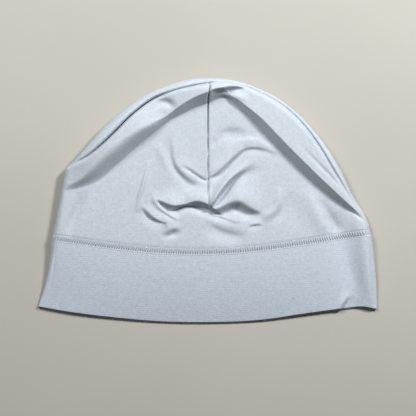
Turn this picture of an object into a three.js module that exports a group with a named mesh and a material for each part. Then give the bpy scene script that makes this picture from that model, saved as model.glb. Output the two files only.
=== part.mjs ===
// Skull cap of thin knitted cloth, lying flat on its back layer with the mouth toward -Y.
// Lengths in millimetres, +Z up, origin on the rest plane under the middle of the outline.
import * as THREE from 'three';

// Cloth
const crownWall = 1.0;
const bandWall = 2.0;
const pieceGap = 0.36;
const cornerGap = 0.8;
const leastSeamInset = 0.035;

// Heights above the rest plane
const middleHeight = 10.4;
const sideHeight = 7.2;
const sideMidHeight = 3.4;
const domeMidHeight = 7.0;
const sideMidEndsAt = -24;
const domeMidStartsAt = 34;
const rollFall = 0.06;

// Roundness of the outer edge, as width over height of its quarter ellipse
const upperRoundness = 1.15;
const lowerRoundness = 1.05;

// Band edges
const leftEdgeBow = 2.2;
const rightEdgeBow = 0.9;
const bowReach = 0.12;
const hemLip = 0.7;

// Centre dart groove
const dartHalfWidth = 1.4;
const dartDepth = 1.0;
const dartStart = -2;
const dartFade = 12;

// Grid of each piece, in cells
const halfColumns = 25;
const panelRows = 19;
const stepRows = 4;
const rollRows = 6;
const backOverRows = 3;
const backUnderRows = 4;
const backFlatRows = 2;
const bandColumns = 21;
const bandRows = 4;
const dartLipShare = 0.0065;
const sideCrowding = 0.45;
const bandCrowding = 0.75;
const creaseLevel = 0.34;
const creaseCrowding = 0.42;
const domeSteps = 216;
const bandSteps = 8;
const snap = 0.01;
const tiny = 1e-5;

// Rim of the crown from the left notch over the top to the right side.
// edge: on the outline. foot: where the inner panel starts. seamAt and crestAt: how far the
// side seam and the crest of the roll lie from edge (0) to foot (1). rise: crest above panel.
const rim = [
  { edgeX: -100.6, edgeY: 22.5, footX: -103.9, footY: 5.9, seamAt: 0.00, crestAt: 0.78, rise: 0.0 },
  { edgeX: -94.9, edgeY: 28.2, footX: -88.6, footY: 6.2, seamAt: 0.08, crestAt: 0.73, rise: 2.5 },
  { edgeX: -89.3, edgeY: 34.6, footX: -76.5, footY: 15.8, seamAt: 0.18, crestAt: 0.65, rise: 6.0 },
  { edgeX: -82.2, edgeY: 42.6, footX: -64.4, footY: 26.1, seamAt: 0.27, crestAt: 0.61, rise: 8.0 },
  { edgeX: -73.0, edgeY: 52.7, footX: -53.1, footY: 37.5, seamAt: 0.30, crestAt: 0.66, rise: 8.5 },
  { edgeX: -59.5, edgeY: 64.4, footX: -40.3, footY: 47.4, seamAt: 0.25, crestAt: 0.72, rise: 8.0 },
  { edgeX: -43.1, edgeY: 75.2, footX: -28.2, footY: 57.3, seamAt: 0.25, crestAt: 0.82, rise: 6.0 },
  { edgeX: -26.8, edgeY: 82.2, footX: -17.6, footY: 62.3, seamAt: 0.25, crestAt: 0.78, rise: 6.5 },
  { edgeX: -12.6, edgeY: 85.9, footX: -8.3, footY: 66.6, seamAt: 0.26, crestAt: 0.69, rise: 7.5 },
  { edgeX: 0.2, edgeY: 86.8, footX: 0.2, footY: 69.4, seamAt: 0.20, crestAt: 0.65, rise: 8.0 },
  { edgeX: 13.7, edgeY: 85.9, footX: 9.8, footY: 71.9, seamAt: 0.12, crestAt: 0.66, rise: 7.5 },
  { edgeX: 30.0, edgeY: 81.8, footX: 21.5, footY: 63.7, seamAt: 0.06, crestAt: 0.74, rise: 7.0 },
  { edgeX: 46.3, edgeY: 74.5, footX: 32.8, footY: 53.1, seamAt: 0.06, crestAt: 0.80, rise: 7.0 },
  { edgeX: 60.5, edgeY: 64.6, footX: 44.2, footY: 41.0, seamAt: 0.07, crestAt: 0.82, rise: 7.0 },
  { edgeX: 73.3, edgeY: 52.0, footX: 55.6, footY: 30.4, seamAt: 0.13, crestAt: 0.83, rise: 7.0 },
  { edgeX: 84.7, edgeY: 37.5, footX: 66.9, footY: 19.7, seamAt: 0.20, crestAt: 0.82, rise: 6.5 },
  { edgeX: 94.6, edgeY: 20.8, footX: 79.0, footY: 9.1, seamAt: 0.24, crestAt: 0.78, rise: 6.0 },
  { edgeX: 103.1, edgeY: 3.0, footX: 92.5, footY: -1.6, seamAt: 0.16, crestAt: 0.72, rise: 4.0 },
  { edgeX: 110.9, edgeY: -9.1, footX: 114.5, footY: -17.5, seamAt: 0.00, crestAt: 0.50, rise: 0.0 },
];

// Band from left to right: a point on its seam with the crown and the hem point below it.
const band = [
  { seamX: -110.9, seamY: -28.9, hemX: -120.5, hemY: -75.1 },
  { seamX: -94.3, seamY: -31.3, hemX: -100.6, hemY: -78.6 },
  { seamX: -69.4, seamY: -34.8, hemX: -73.0, hemY: -82.2 },
  { seamX: -33.9, seamY: -38.3, hemX: -35.3, hemY: -85.6 },
  { seamX: 0.2, seamY: -39.1, hemX: 1.6, hemY: -86.8 },
  { seamX: 33.5, seamY: -37.0, hemX: 37.1, hemY: -84.7 },
  { seamX: 65.5, seamY: -32.8, hemX: 70.5, hemY: -79.9 },
  { seamX: 93.9, seamY: -28.2, hemX: 97.5, hemY: -76.3 },
  { seamX: 116.1, seamY: -25.4, hemX: 120.2, hemY: -76.9 },
];

// Folds of the front panel. height: up or down at the middle of the path.
// left and right: how far it spreads on either hand when the path is followed.
const folds = [
  { name: 'main crease, left', path: [[-37, 1], [-25, -7], [-11, -4]], height: -2.8, left: 3.4, right: 2.8 },
  { name: 'main crease, middle', path: [[-14, -4], [0, -8], [12, -6]], height: -2.8, left: 3.4, right: 2.8 },
  { name: 'main crease, right', path: [[9, -6], [21, -3], [38, -9]], height: -2.8, left: 3.4, right: 2.8 },
  { name: 'lip under the crease', path: [[-40, 3], [-31, -6], [-18, -11]], height: 1.8, left: 3.0, right: 2.6 },
  { name: 'bulge under the crease', path: [[8, -12], [20, -10], [33, -14]], height: 1.6, left: 3.4, right: 4.0 },
  { name: 'rising fold', path: [[3, -2], [10, 6], [23, 18], [39, 28]], height: -2.2, left: 4.0, right: 2.8 },
  { name: 'rising ridge', path: [[8, -4], [17, 7], [30, 17]], height: 1.8, left: 3.0, right: 5.0 },
  { name: 'short upper crease', path: [[-19, 26], [-8, 19], [6, 15]], height: -2.0, left: 2.6, right: 3.0 },
  { name: 'arched fold', path: [[4, 16], [23, 33], [39, 37], [55, 27]], height: -1.8, left: 3.4, right: 4.0 },
  { name: 'arched ridge', path: [[8, 30], [18, 44], [32, 45], [48, 38]], height: 1.5, left: 5.0, right: 4.0 },
  { name: 'left valley', path: [[-29, 52], [-27, 32], [-20, 18], [-7, 11]], height: -1.8, left: 4.0, right: 3.0 },
  { name: 'left ridge', path: [[-34, 47], [-32, 30], [-26, 17], [-13, 9]], height: 1.4, left: 3.0, right: 4.0 },
  { name: 'low left crease', path: [[-51, -3], [-42, -11], [-28, -17]], height: -1.6, left: 3.0, right: 2.6 },
  { name: 'short low crease', path: [[-34, -24], [-26, -22], [-17, -19]], height: -1.2, left: 3.0, right: 3.0 },
  { name: 'right arc', path: [[56, 12], [54, 0], [47, -11], [37, -17]], height: 1.4, left: 4.0, right: 4.0 },
  { name: 'right pleat', path: [[70, 12], [78, -4], [87, -23]], height: 1.3, left: 4.0, right: 4.0 },
  { name: 'side crease', path: [[-84, 10], [-90, -5], [-96, -21]], height: -1.3, left: 4.0, right: 4.0 },
];

const crownKnit = new THREE.MeshStandardMaterial({ name: 'crown_knit', color: 0xb9c4d0, roughness: 0.9 });
const bandKnit = new THREE.MeshStandardMaterial({ name: 'band_knit', color: 0xb3bdca, roughness: 0.9 });

const clamp = (value, low, high) => Math.min(Math.max(value, low), high);
const mix = (from, to, share) => from + (to - from) * share;

function ease(from, to, value) {
  const share = clamp((value - from) / (to - from), 0, 1);
  return share * share * (3 - 2 * share);
}

// Smooth curve through four values, between the middle two.
function curve(before, from, to, after, share) {
  const slopeFrom = (to - before) / 2;
  const slopeTo = (after - from) / 2;
  const squared = share * share;
  const cubed = squared * share;
  return (2 * cubed - 3 * squared + 1) * from + (cubed - 2 * squared + share) * slopeFrom
    + (3 * squared - 2 * cubed) * to + (cubed - squared) * slopeTo;
}

// Value of one column of a table at a place between its rows; place runs from 0 to 1.
function read(table, column, place) {
  const last = table.length - 1;
  const row = Math.min(Math.floor(place * last), last - 1);
  const value = (index) => table[index][column];
  const before = row > 0 ? value(row - 1) : 2 * value(0) - value(1);
  const after = row + 2 <= last ? value(row + 2) : 2 * value(last) - value(last - 1);
  return curve(before, value(row), value(row + 1), after, place * last - row);
}

function seamPoint(place) {
  return [read(band, 'seamX', place), read(band, 'seamY', place)];
}

// Place along the band seam that a column of the crown runs down to.
function bandPlace(side) {
  const first = rim[0].footX;
  const last = rim[rim.length - 1].footX;
  return clamp((read(rim, 'footX', side) - first) / (last - first), 0, 1);
}

// Crown seen from above. level 0: band seam, 1: foot of the roll, 2: its crest, 3: outline.
function crownPlan(side, level) {
  const foot = [read(rim, 'footX', side), read(rim, 'footY', side)];
  if (level <= 1) {
    const start = seamPoint(bandPlace(side));
    return [mix(start[0], foot[0], level), mix(start[1], foot[1], level)];
  }
  const crestAt = read(rim, 'crestAt', side);
  const outward = level <= 2
    ? (level - 1) * (1 - crestAt)
    : 1 - crestAt * (3 - level);
  return [
    mix(foot[0], read(rim, 'edgeX', side), outward),
    mix(foot[1], read(rim, 'edgeY', side), outward),
  ];
}

function bandPlan(place, level) {
  const start = seamPoint(place);
  const bulge = 4 * level * (1 - level);
  const fromLeft = Math.max(0, 1 - place / bowReach);
  const fromRight = Math.max(0, 1 - (1 - place) / bowReach);
  const bow = bulge * (leftEdgeBow * fromLeft + rightEdgeBow * fromRight);
  return [
    mix(start[0], read(band, 'hemX', place), level) + bow,
    mix(start[1], read(band, 'hemY', place), level),
  ];
}

// Outline of the sides and the dome as a run of points, hem to hem.
function outlineRun() {
  const run = [];
  for (let i = bandSteps; i > 0; i -= 1) run.push(bandPlan(0, i / bandSteps));
  run.push(seamPoint(0), crownPlan(0, 1));
  for (let i = 0; i <= domeSteps; i += 1) run.push(crownPlan(i / domeSteps, 3));
  run.push(crownPlan(1, 1), seamPoint(1));
  for (let i = 1; i <= bandSteps; i += 1) run.push(bandPlan(1, i / bandSteps));
  return run;
}

// Nearest place on a run of points: distance, side of travel (left positive), share along it.
function nearest(run, x, y) {
  let best = { distance: Infinity, hand: 1, share: 0 };
  for (let i = 0; i + 1 < run.length; i += 1) {
    const [ax, ay] = run[i];
    const dx = run[i + 1][0] - ax;
    const dy = run[i + 1][1] - ay;
    const along = clamp(((x - ax) * dx + (y - ay) * dy) / (dx * dx + dy * dy), 0, 1);
    const distance = Math.hypot(x - ax - dx * along, y - ay - dy * along);
    if (distance < best.distance) {
      const hand = dx * (y - ay) - dy * (x - ax) >= 0 ? 1 : -1;
      best = { distance, hand, share: (i + along) / (run.length - 1) };
    }
  }
  return best;
}

function smoothRun(points) {
  const table = points.map(([x, y]) => ({ x, y }));
  const steps = 6 * (points.length - 1);
  return Array.from({ length: steps + 1 }, (_, i) => [
    read(table, 'x', i / steps),
    read(table, 'y', i / steps),
  ]);
}

const outline = outlineRun();
const foldRuns = folds.map((fold) => ({ ...fold, run: smoothRun(fold.path) }));

function foldHeight(x, y) {
  let sum = 0;
  for (const fold of foldRuns) {
    const { distance, hand, share } = nearest(fold.run, x, y);
    const spread = hand > 0 ? fold.left : fold.right;
    sum += fold.height * Math.exp(-((distance / spread) ** 2)) * Math.sqrt(Math.sin(Math.PI * share));
  }
  return sum;
}

function dartGroove(x, y) {
  const across = Math.max(0, 1 - Math.abs(x) / dartHalfWidth);
  return -dartDepth * across * ease(dartStart, dartStart + dartFade, y);
}

function panelHeight(x) {
  const halfWidth = band[band.length - 1].hemX;
  return sideHeight + (middleHeight - sideHeight) * (1 - (x / halfWidth) ** 4);
}

function midHeight(y) {
  return mix(sideMidHeight, domeMidHeight, ease(sideMidEndsAt, domeMidStartsAt, y));
}

// Quarter ellipse: 0 at the outline, 1 from the given width inward.
function rounded(distance, width) {
  const inward = clamp((distance - snap) / width, 0, 1);
  return Math.sqrt(1 - (1 - inward) ** 2);
}

function upperZ(x, y, body, detail) {
  const middle = midHeight(y);
  const distance = nearest(outline, x, y).distance;
  const share = rounded(distance, upperRoundness * (body - middle));
  return middle + (body + detail - middle) * share;
}

function lowerZ(x, y) {
  const middle = midHeight(y);
  const distance = nearest(outline, x, y).distance;
  return middle * (1 - rounded(distance, lowerRoundness * middle));
}

function crownUpper(side, level) {
  const [x, y] = crownPlan(side, level);
  const rise = read(rim, 'rise', side);
  const fromCrest = level > 2 ? (level - 2) * rollFall : 0;
  const body = panelHeight(x) + rise * (ease(1, 2, level) - fromCrest);
  const detail = foldHeight(x, y) * (1 - ease(0.9, 1.6, level)) + dartGroove(x, y);
  return new THREE.Vector3(x, y, upperZ(x, y, body, detail));
}

function crownLower(side, level) {
  const [x, y] = crownPlan(side, level);
  return new THREE.Vector3(x, y, lowerZ(x, y));
}

function bandUpper(place, level) {
  const [x, y] = bandPlan(place, level);
  return new THREE.Vector3(x, y, upperZ(x, y, panelHeight(x), 0));
}

function bandLower(place, level) {
  const [x, y] = bandPlan(place, level);
  return new THREE.Vector3(x, y, lowerZ(x, y));
}

// Outward normal of a surface at (u, v); turn is 1 for the upper side and -1 for the lower.
function normalAt(surface, u, v, maxU, maxV, turn) {
  const beforeU = surface(Math.max(u - tiny, 0), v);
  const afterU = surface(Math.min(u + tiny, maxU), v);
  const beforeV = surface(u, Math.max(v - tiny, 0));
  const afterV = surface(u, Math.min(v + tiny, maxV));
  const normal = afterU.sub(beforeU).cross(afterV.sub(beforeV)).normalize();
  return normal.multiplyScalar(normal.z * turn < 0 ? -1 : 1);
}

function sideNormal(x) {
  return new THREE.Vector3(Math.sign(x), 0, 0);
}

// Closed shell between two matching grids of points. wraps: the columns run round a loop.
function shell(outer, inner, wraps) {
  const rows = outer.length;
  const columns = outer[0].length;
  const points = [];
  const known = new Map();
  const index = (point) => {
    const key = [point.x, point.y, point.z].map((value) => Math.round(value * 500)).join();
    if (!known.has(key)) {
      known.set(key, points.length / 3);
      points.push(point.x, point.y, point.z);
    }
    return known.get(key);
  };
  const faces = [];
  const triangle = (a, b, c) => {
    if (a !== b && b !== c && c !== a) faces.push(a, b, c);
  };
  const quad = (a, b, c, d) => {
    const [ia, ib, ic, id] = [a, b, c, d].map(index);
    triangle(ia, ib, ic);
    triangle(ia, ic, id);
  };
  const lastColumn = wraps ? columns : columns - 1;
  for (let r = 0; r + 1 < rows; r += 1) {
    for (let c = 0; c < lastColumn; c += 1) {
      const n = (c + 1) % columns;
      quad(outer[r][c], outer[r][n], outer[r + 1][n], outer[r + 1][c]);
      quad(inner[r][n], inner[r][c], inner[r + 1][c], inner[r + 1][n]);
    }
    if (!wraps) {
      quad(inner[r][0], outer[r][0], outer[r + 1][0], inner[r + 1][0]);
      quad(outer[r][columns - 1], inner[r][columns - 1], inner[r + 1][columns - 1], outer[r + 1][columns - 1]);
    }
  }
  for (let c = 0; c < lastColumn; c += 1) {
    const n = (c + 1) % columns;
    quad(inner[0][c], inner[0][n], outer[0][n], outer[0][c]);
    quad(outer[rows - 1][c], outer[rows - 1][n], inner[rows - 1][n], inner[rows - 1][c]);
  }
  const geometry = new THREE.BufferGeometry();
  geometry.setAttribute('position', new THREE.Float32BufferAttribute(points, 3));
  geometry.setIndex(faces);
  geometry.computeVertexNormals();
  return geometry;
}

// Shares from 0 to 1 that crowd toward the start, as points on a quarter circle do.
function crowded(count) {
  return Array.from({ length: count + 1 }, (_, i) => 1 - Math.cos((Math.PI / 2) * (i / count)));
}

// Columns of the crown: crowded at both sides, with one on each lip of the dart groove.
function crownSides() {
  const outer = crowded(halfColumns).map((share, i) => (
    mix(i / halfColumns, share, sideCrowding) * (0.5 - dartLipShare)));
  return [...outer, 0.5, ...outer.map((side) => 1 - side).reverse()];
}

const atSide = (side) => side === 0 || side === 1;

// Level of the side seam in one column, and that level as an angle round the roll.
function seamLevel(side) {
  if (atSide(side)) return 3;
  return 3 - Math.max(read(rim, 'seamAt', side), leastSeamInset) / read(rim, 'crestAt', side);
}

function rollAngle(level) {
  return Math.asin(clamp(level - 2, 0, 1));
}

function frontLevels(side) {
  const levels = [];
  for (let i = 0; i <= panelRows; i += 1) {
    const share = i / panelRows;
    const turn = 2 * Math.PI;
    const shift = Math.sin(turn * (share - creaseLevel)) + Math.sin(turn * creaseLevel);
    levels.push(share - (creaseCrowding / turn) * shift);
  }
  for (let i = 1; i <= stepRows; i += 1) levels.push(1 + i / stepRows);
  const end = rollAngle(seamLevel(side));
  for (let i = 1; i <= rollRows; i += 1) levels.push(2 + Math.sin(end * (i / rollRows)));
  return levels;
}

// Point on the side seam moved half a gap outward (1) or inward (-1) along the cloth.
function besideSeam(side, outward) {
  const level = seamLevel(side);
  const point = crownUpper(side, level);
  if (atSide(side)) {
    point.z -= outward * (pieceGap / 2);
    if (outward < 0) point.y -= cornerGap;
    return point;
  }
  const along = crownUpper(side, level + tiny).sub(crownUpper(side, level - tiny)).normalize();
  return point.addScaledVector(along, outward * (pieceGap / 2));
}

function crownNormal(surface, side, level, turn) {
  return atSide(side) ? sideNormal(side - 0.5) : normalAt(surface, side, level, 1, 3, turn);
}

function offset(points, normals, wall) {
  return points.map((point, i) => point.clone().addScaledVector(normals[i], -wall));
}

// Front panel: upper cloth from the band seam to the side seam.
function crownFront() {
  const sides = crownSides();
  const levels = sides.map(frontLevels);
  const lastRow = levels[0].length - 1;
  const outer = [];
  const inner = [];
  for (let r = 0; r <= lastRow; r += 1) {
    const points = sides.map((side, c) => {
      if (r === lastRow) return besideSeam(side, -1);
      const point = crownUpper(side, levels[c][r]);
      if (atSide(side)) point.z += pieceGap / 2;
      if (r === 0) point.y += pieceGap / 2;
      return point;
    });
    const normals = sides.map((side, c) => crownNormal(crownUpper, side, levels[c][r], 1));
    outer.push(points);
    inner.push(offset(points, normals, crownWall));
  }
  return shell(outer, inner, false);
}

// Back panel: from the side seam over the outline and under to the band seam on the floor.
function crownBack() {
  const sides = crownSides();
  const outer = [];
  const inner = [];
  for (let r = 0; r < backOverRows; r += 1) {
    const levels = sides.map((side) => {
      const start = rollAngle(seamLevel(side));
      return 2 + Math.sin(mix(start, Math.PI / 2, r / backOverRows));
    });
    const points = sides.map((side, c) => (
      r === 0 || atSide(side) ? besideSeam(side, 1) : crownUpper(side, levels[c])));
    const normals = sides.map((side, c) => crownNormal(crownUpper, side, levels[c], 1));
    outer.push(points);
    inner.push(offset(points, normals, crownWall));
  }
  const under = crowded(backUnderRows).map((share) => 3 - share);
  const flat = Array.from({ length: backFlatRows }, (_, i) => 1 - (i + 1) / backFlatRows);
  for (const level of [...under, 1, ...flat]) {
    const points = sides.map((side) => {
      const point = crownLower(side, level);
      if (atSide(side)) point.z -= pieceGap / 2;
      if (level === 0) point.y += pieceGap / 2;
      return point;
    });
    const normals = sides.map((side) => crownNormal(crownLower, side, level, -1));
    outer.push(points);
    inner.push(offset(points, normals, crownWall));
  }
  return shell(outer, inner, false);
}

// Band: one ring of doubled cloth with a rounded hem.
function bandRing() {
  const across = Array.from({ length: bandColumns + 1 }, (_, i) => {
    const share = i / bandColumns;
    return mix(share, (1 - Math.cos(Math.PI * share)) / 2, bandCrowding);
  });
  const loop = [
    ...across.map((place) => ({ place, upper: true })),
    ...across.slice(1, -1).reverse().map((place) => ({ place, upper: false })),
  ];
  const outer = [];
  const inner = [];
  for (let r = 0; r <= bandRows; r += 1) {
    const level = r / bandRows;
    const points = loop.map(({ place, upper }) => {
      const point = upper ? bandUpper(place, level) : bandLower(place, level);
      if (r === 0) point.y -= pieceGap / 2;
      return point;
    });
    const normals = loop.map(({ place, upper }) => {
      if (atSide(place)) return sideNormal(place - 0.5);
      return normalAt(upper ? bandUpper : bandLower, place, level, 1, 1, upper ? 1 : -1);
    });
    outer.unshift(points);
    inner.unshift(offset(points, normals, bandWall));
  }
  const lip = outer[0].map((point, i) => {
    const middle = point.clone().add(inner[0][i]).multiplyScalar(0.5);
    middle.y -= hemLip;
    return middle;
  });
  return shell([lip, ...outer], [lip, ...inner], true);
}

function piece(name, geometry, material) {
  const mesh = new THREE.Mesh(geometry, material);
  mesh.name = name;
  return mesh;
}

const cap = new THREE.Group();
cap.name = 'skull_cap';
cap.add(piece('crown_front', crownFront(), crownKnit));
cap.add(piece('crown_back', crownBack(), crownKnit));
cap.add(piece('band', bandRing(), bandKnit));

export default cap;
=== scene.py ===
"""Thin knit skull cap lying flat on its back layer, seen from straight above."""

import bpy
import numpy as np
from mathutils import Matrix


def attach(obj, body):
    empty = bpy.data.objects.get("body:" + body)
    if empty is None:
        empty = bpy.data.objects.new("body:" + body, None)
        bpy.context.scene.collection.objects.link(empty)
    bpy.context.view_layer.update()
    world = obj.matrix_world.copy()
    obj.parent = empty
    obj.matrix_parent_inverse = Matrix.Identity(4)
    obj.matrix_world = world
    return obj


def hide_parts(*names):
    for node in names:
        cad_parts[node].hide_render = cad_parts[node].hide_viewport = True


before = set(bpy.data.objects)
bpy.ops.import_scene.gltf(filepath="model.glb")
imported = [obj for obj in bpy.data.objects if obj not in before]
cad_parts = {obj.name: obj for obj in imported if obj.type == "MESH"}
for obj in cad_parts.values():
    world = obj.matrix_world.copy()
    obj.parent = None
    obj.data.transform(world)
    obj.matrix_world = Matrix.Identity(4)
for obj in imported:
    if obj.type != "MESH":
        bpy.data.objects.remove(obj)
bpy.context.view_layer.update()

# Lengths are millimetres unless a heading says metres; meshes are made in metres.
MM = 0.001

# Cloth: thickness, the least thickness straight down, and the gap between pieces
CROWN_WALL = 1.0
LEAST_CROWN_WALL = 0.5
BAND_WALL = 1.0
SEAM_GAP = 0.03

# Heights above the floor, the power of the blend to the sides, and the roll's fall to the outline
PANEL_HEIGHT = 8.4
HEM_HEIGHT = 2.1
SIDE_HEIGHT = 6.4
NOTCH_HEIGHT = 10.0
PANEL_FLATNESS = 4
ROLL_FALL = 0.5

# Heights of the outline's middle, where the upper and the lower face meet
HEM_MID_HEIGHT = 1.05
SIDE_MID_HEIGHT = 3.2
DOME_MID_HEIGHT = 7.0

# Where along Y a height starts to rise, and where it is reached
PANEL_RISE = (-86.0, -28.0)
SIDE_RISE = (-84.0, -10.0)
HEM_MID_RISE = (-80.0, -45.0)
DOME_MID_RISE = (-24.0, 34.0)

# Rounding at the outline: width for a unit of height, and how near counts as on the outline
UPPER_ROUNDNESS = 0.8
LOWER_ROUNDNESS = 1.0
OUTLINE_GRACE = 0.003

# Profile of the roll's inner wall along the rim: smooth, then crisp, then even with short bends
CRISP_WALL = (0.05, 0.2)
EVEN_WALL = (0.27, 0.33)
WALL_BEND = 0.12

# Levels of the crown over which the panel's folds fade and the roll's own shapes come in
FOLDS_FADE = (0.85, 1.3)
RIM_SHAPES = (1.3, 2.0)

# Folds: how many spreads they reach, and the least half width of a face
FOLD_REACH = 3.0
LEAST_HALF_FACE = 0.2

# Band outline: bow of the side edges, lip round the hem, and how much lower the back layer's hem is
LEFT_EDGE_BOW = 2.2
RIGHT_EDGE_BOW = 0.9
BOW_REACH = 0.12
HEM_LIP = 0.4
HEM_LIP_STEPS = 6
BACK_HEM_DROP = 0.8
HEM_DROP_LEVELS = (0.7, 1.0)
HEM_DROP_CORNERS = (0.0, 0.015)

# Seams
DART_X = 0.2
DART_WIDTH = 0.5
DART_DEPTH = 2.7
DART_DEEPENS = (-6.0, 4.0)
DART_JOG = 1.3
DART_JOG_STARTS = (72.0, 80.0)
DART_JOG_ENDS = (81.0, 87.0)
SIDE_SEAM_WIDTH = 1.0
SEAM_TUCK = 0.02
LEAST_SEAM_INSET = 0.03

# Cover stitches over the band seam
STITCH_START = 0.7
STITCH_END = 5.4
STITCH_PITCH = 1.7
STITCH_SLANT = 0.7
THREAD_SINK = 0.22
THREAD_SIDES = 6
THREAD_TAPER = (0.08, 0.92)
LOOP_RADIUS = 0.42
LOOP_LIFT = 0.32
LOOP_POINTS = 7
LOOP_FULLNESS = 0.7
NEEDLE_RADIUS = 0.26
NEEDLE_LIFT = 0.06
NEEDLE_POINTS = 5
NEEDLE_SPAN = (0.14, 0.86)

# The cloth is pulled down under the stitches: depth, and its two sides in mm from the seam
CHANNEL_DEPTH = 0.25
CHANNEL_STARTS = (0.2, 0.8)
CHANNEL_ENDS = (STITCH_END - 0.2, STITCH_END + 0.6)

# Camera, looking straight down; it clips in metres
CAMERA_HEIGHT = 1150.0
CAMERA_X = 0.2
CAMERA_Y = -5.5
VIEW_WIDTH = 295.4
VIEW_LEVEL = 5.0
SENSOR_WIDTH = 36.0
CLIP_START = 0.01
CLIP_END = 20.0

# Lamps: name, azimuth and elevation in degrees, size in metres, share of the light, colour.
# They stand LAMP_DISTANCE metres away.
LAMPS = (
    ("left_lamp", 126.0, 46.0, 0.26, 0.36, (1.0, 0.985, 0.96)),
    ("right_lamp", 46.0, 41.0, 0.17, 0.545, (1.0, 0.985, 0.96)),
)
LAMP_DISTANCE = 0.95
FILL_SHARE = 0.065
FILL_COLOUR = (0.96, 0.98, 1.0, 1.0)
LIGHT_LEVEL = 1.21

# Colours: the darkest and the lightest of each surface
CROWN_COLOURS = ((0.34, 0.39, 0.455, 1.0), (0.66, 0.73, 0.805, 1.0))
BAND_COLOURS = ((0.343, 0.397, 0.471, 1.0), (0.665, 0.752, 0.855, 1.0))
# The stitch thread is darker than the cloth: partly its own tone, partly painted shade for the shade
# between the stitch loops
THREAD_COLOURS_WITH_PAINTED_SHADE = ((0.40, 0.455, 0.52, 1.0), (0.50, 0.56, 0.63, 1.0))
FLOOR_COLOURS = ((0.43, 0.42, 0.385, 1.0), (0.50, 0.488, 0.452, 1.0))

# Knit: wale pitches, noise scales for each metre, height of the ribs beside the yarn's,
# bump distance in metres, and the shares of the two noises in the colour
KNIT_PITCH = 1.1
THREAD_PITCH = 0.5
COURSES_TO_WALES = 0.8
YARN_SCALE = 1100.0
CLOUD_SCALE = 380.0
KNIT_DETAIL = 3.0
RIB_HEIGHT = 0.06
BUMP_STRENGTH = 0.35
BUMP_DISTANCE = 0.0004
YARN_SHARE = 0.6
CLOUD_SHARE = 0.4
KNIT_ROUGHNESS = 0.9
KNIT_SHEEN = 0.05
SHEEN_ROUGHNESS = 0.5
KNIT_SPECULAR = 0.25

# Floor: reach in metres each way, and its noise
FLOOR_REACH = 3.0
FLOOR_SCALE = 6.0
FLOOR_DETAIL = 5.0
FLOOR_ROUGHNESS = 0.95

# Grid cells of the fine meshes
FRONT_COLUMNS = 336
PANEL_ROWS = 150
STEP_ROWS = 22
ROLL_ROWS = 24
BACK_COLUMNS = 240
OVER_ROWS = 12
UNDER_ROWS = 12
FLAT_ROWS = 20
BAND_COLUMNS = 220
BAND_ROWS = 50

# Extra grid lines where they are needed: how many for each plain one, and over what share
ENDS_CROWDING = 5
ENDS_REACH = 0.012
DART_CROWDING = 7
DART_REACH = 0.006
CREASE_CROWDING = 1.3
CREASE_LEVEL = 0.33
CREASE_REACH = 0.13
SEAM_CROWDING = 8
SEAM_REACH = 0.004
BAND_SEAM_CROWDING = 10
BAND_SEAM_REACH = 0.008

# Samples of curves
SPAN_SAMPLES = 8
DENSITY_SAMPLES = 4001
SEAM_SAMPLES = 2001
DOME_SAMPLES = 401
EDGE_SAMPLES = 13
NEAREST_CHUNK = 8192

# Rim of the crown from the left notch over the top to the right side.
# edge: on the outline. foot: where the inner panel starts. seam_at, crest_at: where the side
# seam and the crest of the roll lie from edge (0) to foot (1). rise: crest above the panel.
# seam_depth: depth of the side seam's groove.
RIM_COLUMNS = ("edge_x", "edge_y", "foot_x", "foot_y", "seam_at", "crest_at", "rise", "seam_depth")
RIM = (
    (-100.6, 22.5, -103.9, 5.9, 0.000, 0.781, 0.0, 0.4),
    (-94.9, 28.2, -89.6, 8.3, 0.087, 0.650, 4.2, 1.2),
    (-89.3, 34.6, -77.4, 13.8, 0.200, 0.525, 8.0, 3.2),
    (-82.2, 42.6, -64.3, 25.5, 0.270, 0.516, 10.5, 4.6),
    (-73.0, 52.7, -52.2, 36.5, 0.295, 0.568, 11.0, 5.6),
    (-59.5, 64.4, -39.7, 46.8, 0.242, 0.672, 10.0, 5.4),
    (-43.1, 75.2, -27.5, 56.2, 0.206, 0.822, 5.6, 4.6),
    (-26.8, 82.2, -17.1, 61.3, 0.222, 0.703, 7.6, 2.6),
    (-12.6, 85.9, -8.0, 65.4, 0.238, 0.600, 9.2, 3.2),
    (0.2, 86.8, 0.2, 68.4, 0.196, 0.500, 9.8, 3.4),
    (11.7, 86.2, 8.4, 72.0, 0.143, 0.439, 8.2, 2.4),
    (20.0, 84.8, 15.4, 71.7, 0.125, 0.763, 4.8, 2.4),
    (30.0, 81.8, 22.2, 65.1, 0.100, 0.727, 5.0, 2.2),
    (46.3, 74.5, 33.5, 54.3, 0.085, 0.728, 7.0, 3.0),
    (60.5, 64.6, 44.8, 41.8, 0.078, 0.736, 7.4, 3.4),
    (73.3, 52.0, 55.9, 30.7, 0.108, 0.749, 7.4, 3.2),
    (84.7, 37.5, 66.8, 19.6, 0.162, 0.719, 7.4, 2.8),
    (94.6, 20.8, 78.6, 8.8, 0.205, 0.665, 6.8, 2.8),
    (103.1, 3.0, 92.3, -1.7, 0.153, 0.559, 5.2, 2.0),
    (110.9, -9.1, 114.5, -17.5, 0.000, 0.505, 0.0, 0.4),
)

# Band from left to right: a point on its seam with the crown and the hem point below it.
BAND_TABLE_COLUMNS = ("seam_x", "seam_y", "hem_x", "hem_y")
BAND = (
    (-110.9, -28.9, -120.5, -75.1),
    (-94.3, -31.3, -100.6, -78.6),
    (-69.4, -34.8, -73.0, -82.2),
    (-33.9, -38.3, -35.3, -85.6),
    (0.2, -39.1, 1.6, -86.3),
    (33.5, -37.0, 37.1, -84.7),
    (65.5, -32.8, 70.5, -79.9),
    (93.9, -28.2, 97.5, -76.3),
    (105.5, -26.5, 109.5, -75.2),
    (116.1, -25.4, 120.2, -76.9),
)

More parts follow.
